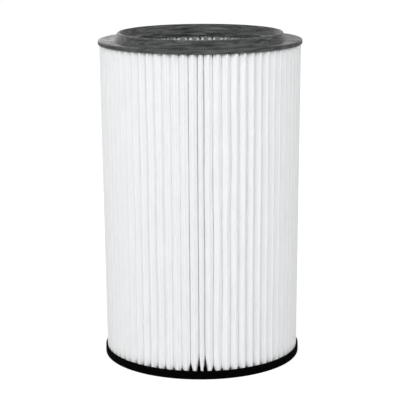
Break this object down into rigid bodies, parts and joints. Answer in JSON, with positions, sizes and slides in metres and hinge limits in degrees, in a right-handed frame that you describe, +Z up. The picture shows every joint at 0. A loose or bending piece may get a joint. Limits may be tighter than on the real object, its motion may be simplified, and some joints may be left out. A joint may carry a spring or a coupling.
{
  "type": "pleated filter cartridge",
  "caption": "Upright cartridge of pleated polyester fleece between two end caps, with a sealing ring around an open bore at the top and a closed bottom.",
  "frame": {"origin": "centre of the underside of the bottom end cap", "axes": "+Z up along the cartridge's axis, the seam of the pleats faces -Y"},
  "size_m": [0.2028, 0.2028, 0.3286],
  "materials": {
    "cap_polyurethane": "semi-gloss",
    "polyester_fleece": "matt",
    "tray_polyurethane": "matt",
    "core_plastic": "matt"
  },
  "bodies": {
    "root": {"top_end_cap": "cap_polyurethane", "pleated_media": "polyester_fleece", "bottom_end_cap": "tray_polyurethane", "inner_core": "core_plastic"}
  },
  "joints": []
}
